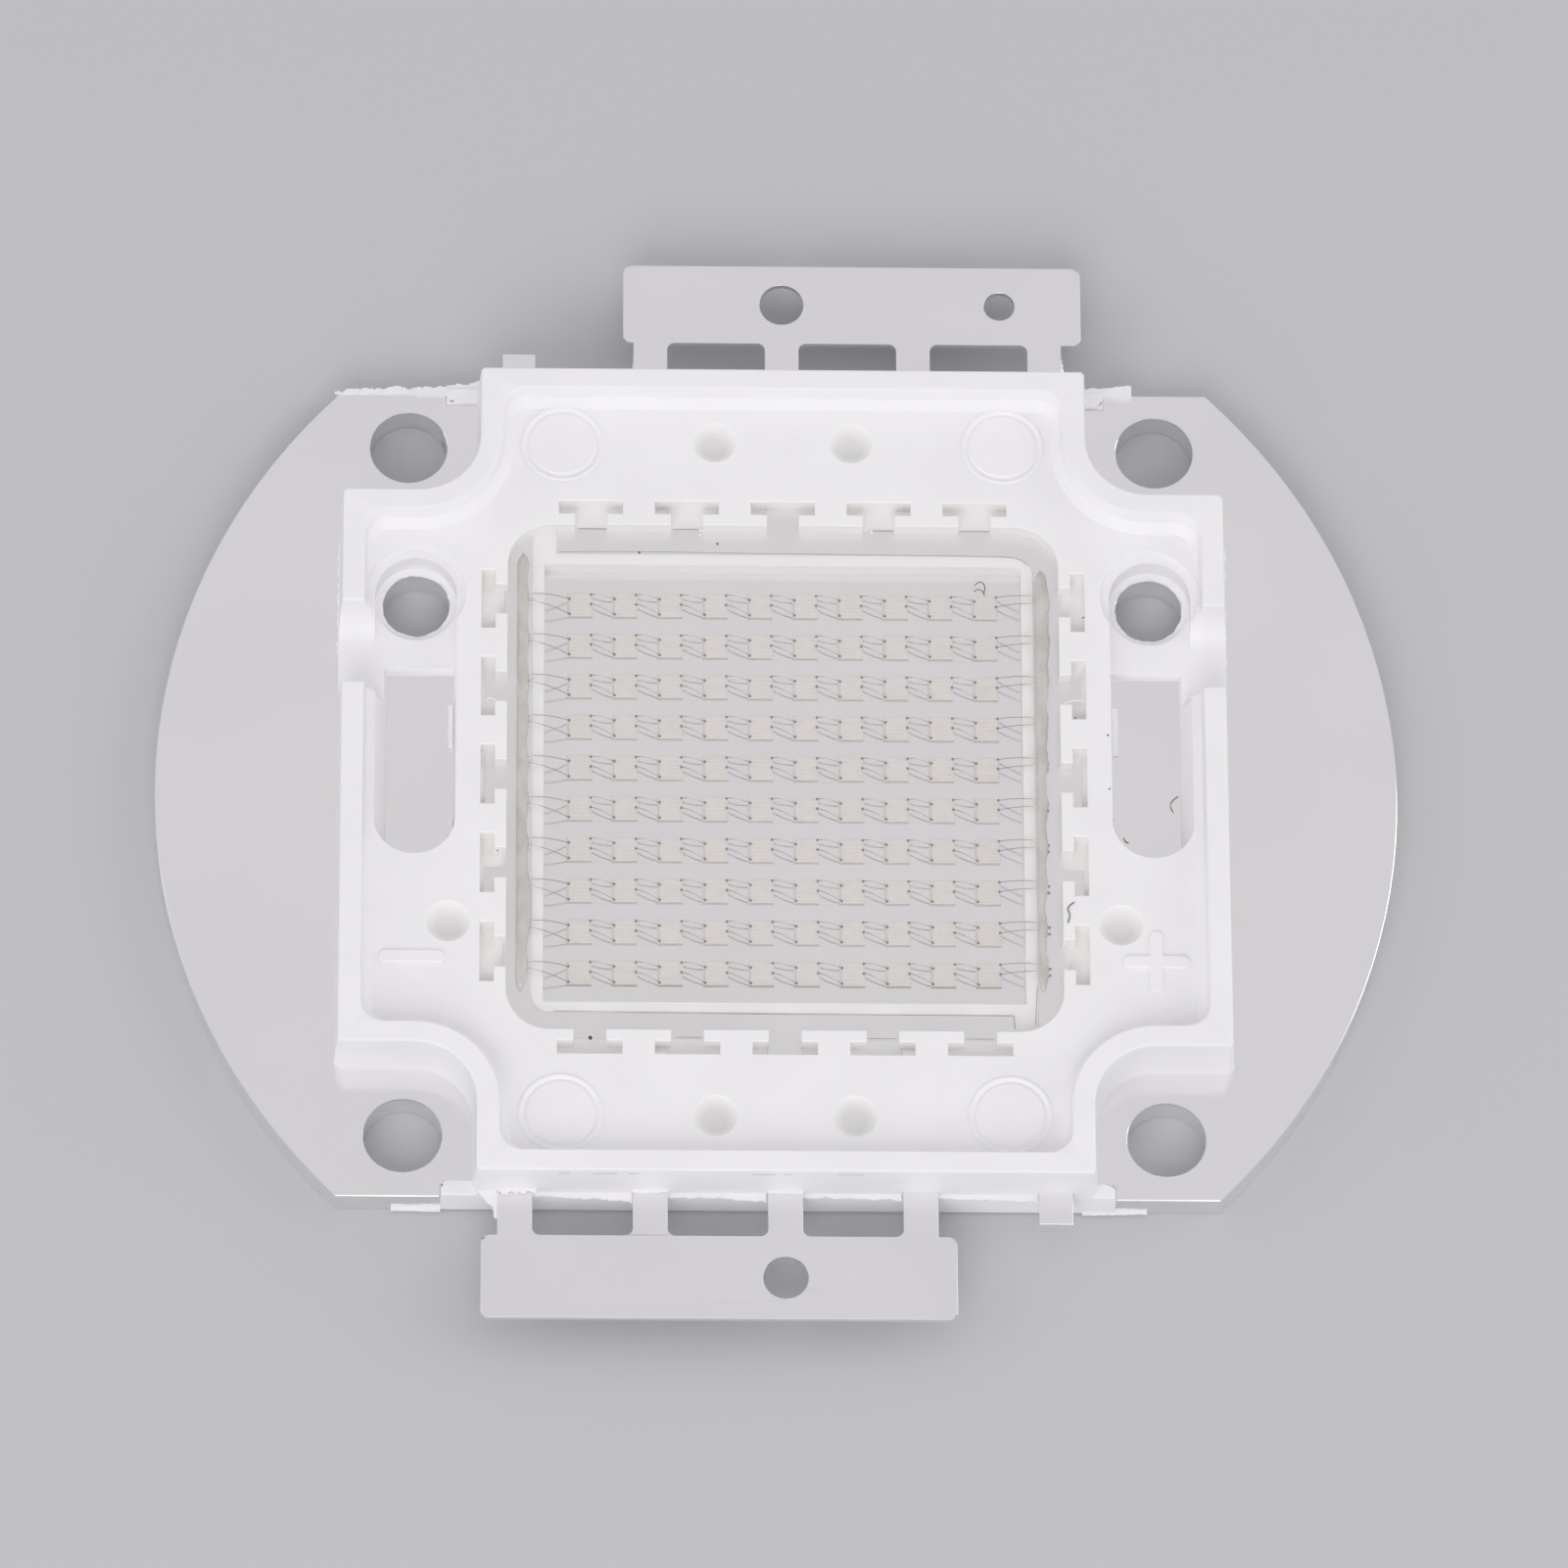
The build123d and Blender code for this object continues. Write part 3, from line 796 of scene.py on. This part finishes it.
def seat_flash(name, centre_x, seed):
    """A ragged ring of flash on a side hole's seat: a tube whose two rims are drawn inwards and joined."""
    sides = 40
    middle = Vector((centre_x, SIDE_HOLE_Y, PLATE_TOP + 0.04))
    bpy.ops.object.select_all(action="DESELECT")
    bpy.ops.mesh.primitive_cylinder_add(
        vertices=sides, radius=(SEAT_RADIUS + 0.02) * MM, depth=0.1 * MM,
        end_fill_type="NOTHING", location=middle * MM,
    )
    ring = settle()
    shrink = SIDE_HOLE_RADIUS / SEAT_RADIUS
    for upper, drop in ((True, -0.03), (False, 0.0)):
        choose(ring, "EDGE", lambda a, b: abs(a.z - b.z) < 0.01 and (a.z > middle.z) == upper)
        bpy.ops.mesh.extrude_region_move(TRANSFORM_OT_translate={"value": metres(0, 0, drop)})
        bpy.ops.transform.resize(value=(shrink, shrink, 1), center_override=middle * MM)
        close_edit()

    def inner(corner):
        return math.hypot(corner.x - middle.x, corner.y - middle.y) < SEAT_RADIUS - 0.1

    choose(ring, "EDGE", lambda a, b: inner(a) and inner(b) and abs(a.z - b.z) < 0.01)
    bpy.ops.mesh.bridge_edge_loops()
    bpy.ops.mesh.select_all(action="SELECT")
    bpy.ops.mesh.normals_make_consistent(inside=False)
    close_edit()
    dice = random.Random(seed)
    tears = [dice.uniform(0.98, 1.05) for _ in range(sides)]
    for corner in ring.data.vertices:
        place = corner.co / MM
        if inner(place):
            turn = math.atan2(place.y - middle.y, place.x - middle.x) / (2 * math.pi)
            tear = tears[round(turn * sides) % sides]
            corner.co.x = (middle.x + (place.x - middle.x) * tear) * MM
            corner.co.y = (middle.y + (place.y - middle.y) * tear) * MM
    return finished(ring, name, thin_ppa, smooth=50)


seat_flash("flash_seat_left", PATTERN_X - SIDE_HOLE_X, 71)
seat_flash("flash_seat_right", PATTERN_X + SIDE_HOLE_X, 72)


def curl(points, radius):
    """A thin smooth curve through a few points, given its thickness and made a mesh."""
    bpy.ops.object.select_all(action="DESELECT")
    bpy.ops.curve.primitive_bezier_curve_add()
    curve = bpy.context.object
    line = curve.data.splines[0]
    line.bezier_points.add(len(points) - 2)
    for point, place in zip(line.bezier_points, points):
        point.handle_left_type = point.handle_right_type = "AUTO"
        point.co = metres(*place)
    curve.data.resolution_u = 5
    curve.data.bevel_depth = radius * MM
    curve.data.bevel_resolution = 1
    curve.data.use_fill_caps = True
    bpy.ops.object.convert(target="MESH")
    return bpy.context.object


# What fell into the silicone or onto the frame before it cured
FIBRES = (
    (
        "fibre_by_last_die", dark_speck, 0.022,
        ((9.02, 10.12, 1.8), (9.28, 10.25, 1.9), (9.47, 10.05, 1.9), (9.44, 9.74, 1.8)),
    ),
    # Pale curls: fibres, pale with painted glint
    (
        "pale_curl_painted_glint_right", glint_speck_painted, 0.03,
        ((12.74, 3.4, 3.0), (12.95, 3.66, 3.03), (13.3, 3.82, 3.03), (13.78, 3.84, 3.0)),
    ),
    (
        "pale_curl_painted_glint_left", glint_speck_painted, 0.025,
        ((-13.14, 3.66, 3.0), (-12.95, 3.76, 3.03), (-12.6, 3.62, 3.03), (-12.28, 3.7, 3.0)),
    ),
    (
        "wire_scrap", dark_speck, 0.022,
        ((12.97, -7.16, 3.12), (13.05, -6.8, 3.16), (12.98, -6.45, 3.14), (13.27, -6.14, 3.13)),
    ),
    (
        "fibre_window_1", dark_speck, 0.014,
        ((18.11, -0.18, 1.53), (17.84, -0.43, 1.55), (17.75, -0.67, 1.54), (17.87, -0.99, 1.53)),
    ),
    ("fibre_window_2", dark_speck, 0.016, ((15.62, -2.25, 1.53), (15.71, -2.45, 1.55), (15.84, -2.51, 1.53))),
)
for name, material, radius, points in FIBRES:
    finished(curl(points, radius), name, material, smooth=60)

# Painted shade in seams, drawn as grey lines: round the pads' inner edges, and at the mouths of the slots
SEAM_RADIUS = 0.016
PAD_SEAMS = (
    (
        (-9.87, 11.42), (-6.77, 11.46), (-2.0, 11.42), (4.0, 11.38),
        (9.23, 11.34), (10.57, 11.3), (11.06, 11.2), (11.42, 10.93),
    ),
    ((-10.0, -11.27), (-4.1, -11.3), (4.6, -11.35), (10.54, -11.36)),
    ((10.54, -11.36), (10.57, -12.0)),
    ((11.59, -9.95), (11.55, -10.8), (11.5, -11.8)),
)
BACK_MOUTHS = ((-8.99, -7.66), (-4.63, -3.5), (4.42, 5.33), (8.36, 9.69))
BACK_MOUTH_Y = 12.6
FRONT_MOUTHS = ((-4.56, -3.38), (4.04, 5.26), (8.41, 9.63))
FRONT_MOUTH_Y = -12.5
seams = [curl([(x, y, LEAD_TOP) for x, y in line], SEAM_RADIUS) for line in PAD_SEAMS]
seams += [curl([(x, BACK_MOUTH_Y, LEAD_TOP) for x in ends], SEAM_RADIUS) for ends in BACK_MOUTHS]
seams += [curl([(x, FRONT_MOUTH_Y, LEAD_TOP) for x in ends], SEAM_RADIUS) for ends in FRONT_MOUTHS]
# Dashes of dirt along the rim's front top edge
RIM_DASHES = ((-9.8, -9.25), (-8.25, -7.2), (-6.7, -6.25), (-1.2, -0.2), (0.15, 0.5), (2.55, 3.7))
DASH_Y = -19.93
DASH_Z = FRAME_TOP - 0.028
DASH_RADIUS = 0.009
seams += [curl([(x, DASH_Y, DASH_Z) for x in ends], DASH_RADIUS) for ends in RIM_DASHES]
# The seam lines are painted shade; the rim's dashes are dirt
finished(joined(seams), "seam_shade_and_dirt_lines", painted_seam_shade_and_dirt, smooth=60)

# Specks of dirt, each by its place and radius
DARK_SPECKS = (
    (-8.37, -12.85, 3.0, 0.1), (-2.65, 11.88, 2.32, 0.05), (-6.2, 11.41, 2.32, 0.05),
    (13.87, 8.04, 2.9, 0.05), (13.44, 3.01, 2.95, 0.05), (-12.55, -3.76, 3.0, 0.04),
    (14.89, 2.1, 3.1, 0.05), (14.93, -0.56, 3.1, 0.04),
)
# Drops of silicone at the mouths of two slots, pale with painted glint
PALE_SPECKS = (
    (-3.39, 12.56, 2.34, 0.09), (-3.42, 12.3, 2.32, 0.06), (4.13, 12.6, 2.34, 0.07), (4.34, 12.5, 2.34, 0.08),
)
specks = [(place, dark_speck) for place in DARK_SPECKS] + [(place, glint_speck_painted) for place in PALE_SPECKS]
for number, ((x, y, z, radius), material) in enumerate(specks, 1):
    bpy.ops.object.select_all(action="DESELECT")
    bpy.ops.mesh.primitive_ico_sphere_add(subdivisions=1, radius=radius * MM, location=metres(x, y, z))
    speck = settle()
    dice = random.Random(number)
    for corner in speck.data.vertices:
        corner.co += metres(*[dice.uniform(-0.3, 0.3) * radius for _ in range(3)])
    finished(speck, f"speck_{number}", material, smooth=60)

# Plain pale floor
bpy.ops.object.select_all(action="DESELECT")
bpy.ops.mesh.primitive_plane_add(size=4, location=(0, 0, 0))
ground = bpy.context.object
ground.name = "studio_floor"
floor_paint, _, floor_shader = new_material("pale_floor", Roughness=0.8)
floor_shader.inputs["Base Color"].default_value = colour("#C9CACC")
ground.data.materials.append(floor_paint)


def soft_light(name, place, size, power):
    """A square softbox that faces the object."""
    lamp = bpy.data.lights.new(name, "AREA")
    lamp.shape = "SQUARE"
    lamp.size = size
    lamp.energy = power
    box = bpy.data.objects.new(name, lamp)
    bpy.context.collection.objects.link(box)
    box.location = place
    box.rotation_euler = (-Vector(place)).to_track_quat("-Z", "Y").to_euler()


soft_light("overhead_softbox", (0.1, 0.3, 0.8), 0.9, 0.28)
soft_light("right_softbox", (0.7, 0.1, 0.35), 0.5, 1.0)
soft_light("left_softbox", (-0.7, 0.0, 0.35), 0.5, 0.65)
soft_light("front_softbox", (-0.1, -0.6, 0.48), 0.5, 1.93)

# An even pale room
world = bpy.data.worlds.new("studio")
bpy.context.scene.world = world
world.use_nodes = True
world.node_tree.nodes["Background"].inputs["Color"].default_value = colour("#F7F5F7")
world.node_tree.nodes["Background"].inputs["Strength"].default_value = 0.62
bpy.context.scene.view_settings.view_transform = "Standard"
bpy.context.scene.cycles.max_bounces = 16
bpy.context.scene.cycles.diffuse_bounces = 12
# Light crosses the silicone's faces again on each bounce between the walls of a slot
bpy.context.scene.cycles.transparent_max_bounces = 64


# The photograph's viewpoint in degrees and millimetres: where the camera looks, and from how far
CAMERA_ANGLES = (65.4831, -3.5196, 3.5966)
CAMERA_AIM = (0.3385, 0.2992, PLATE_TOP)
CAMERA_DISTANCE = 562.612
CAMERA_LENS = 286.72


def add_camera():
    """The photograph's viewpoint: high in front, a long lens, turned slightly about its axis."""
    elevation, azimuth, roll = (math.radians(angle) for angle in CAMERA_ANGLES)
    back = Vector((
        math.sin(azimuth) * math.cos(elevation),
        -math.cos(azimuth) * math.cos(elevation),
        math.sin(elevation),
    ))
    right = Vector((math.cos(azimuth), math.sin(azimuth), 0))
    up = back.cross(right)
    turned_right = math.cos(roll) * right + math.sin(roll) * up
    turned_up = -math.sin(roll) * right + math.cos(roll) * up
    place = metres(*CAMERA_AIM) + back * CAMERA_DISTANCE * MM
    camera = bpy.data.objects.new("camera", bpy.data.cameras.new("camera"))
    bpy.context.collection.objects.link(camera)
    camera.data.lens = CAMERA_LENS
    camera.data.sensor_width = 36
    camera.data.clip_start = 0.05
    turn = Matrix((turned_right, turned_up, back)).transposed().to_4x4()
    camera.matrix_world = Matrix.Translation(place) @ turn
    bpy.context.scene.camera = camera


add_camera()
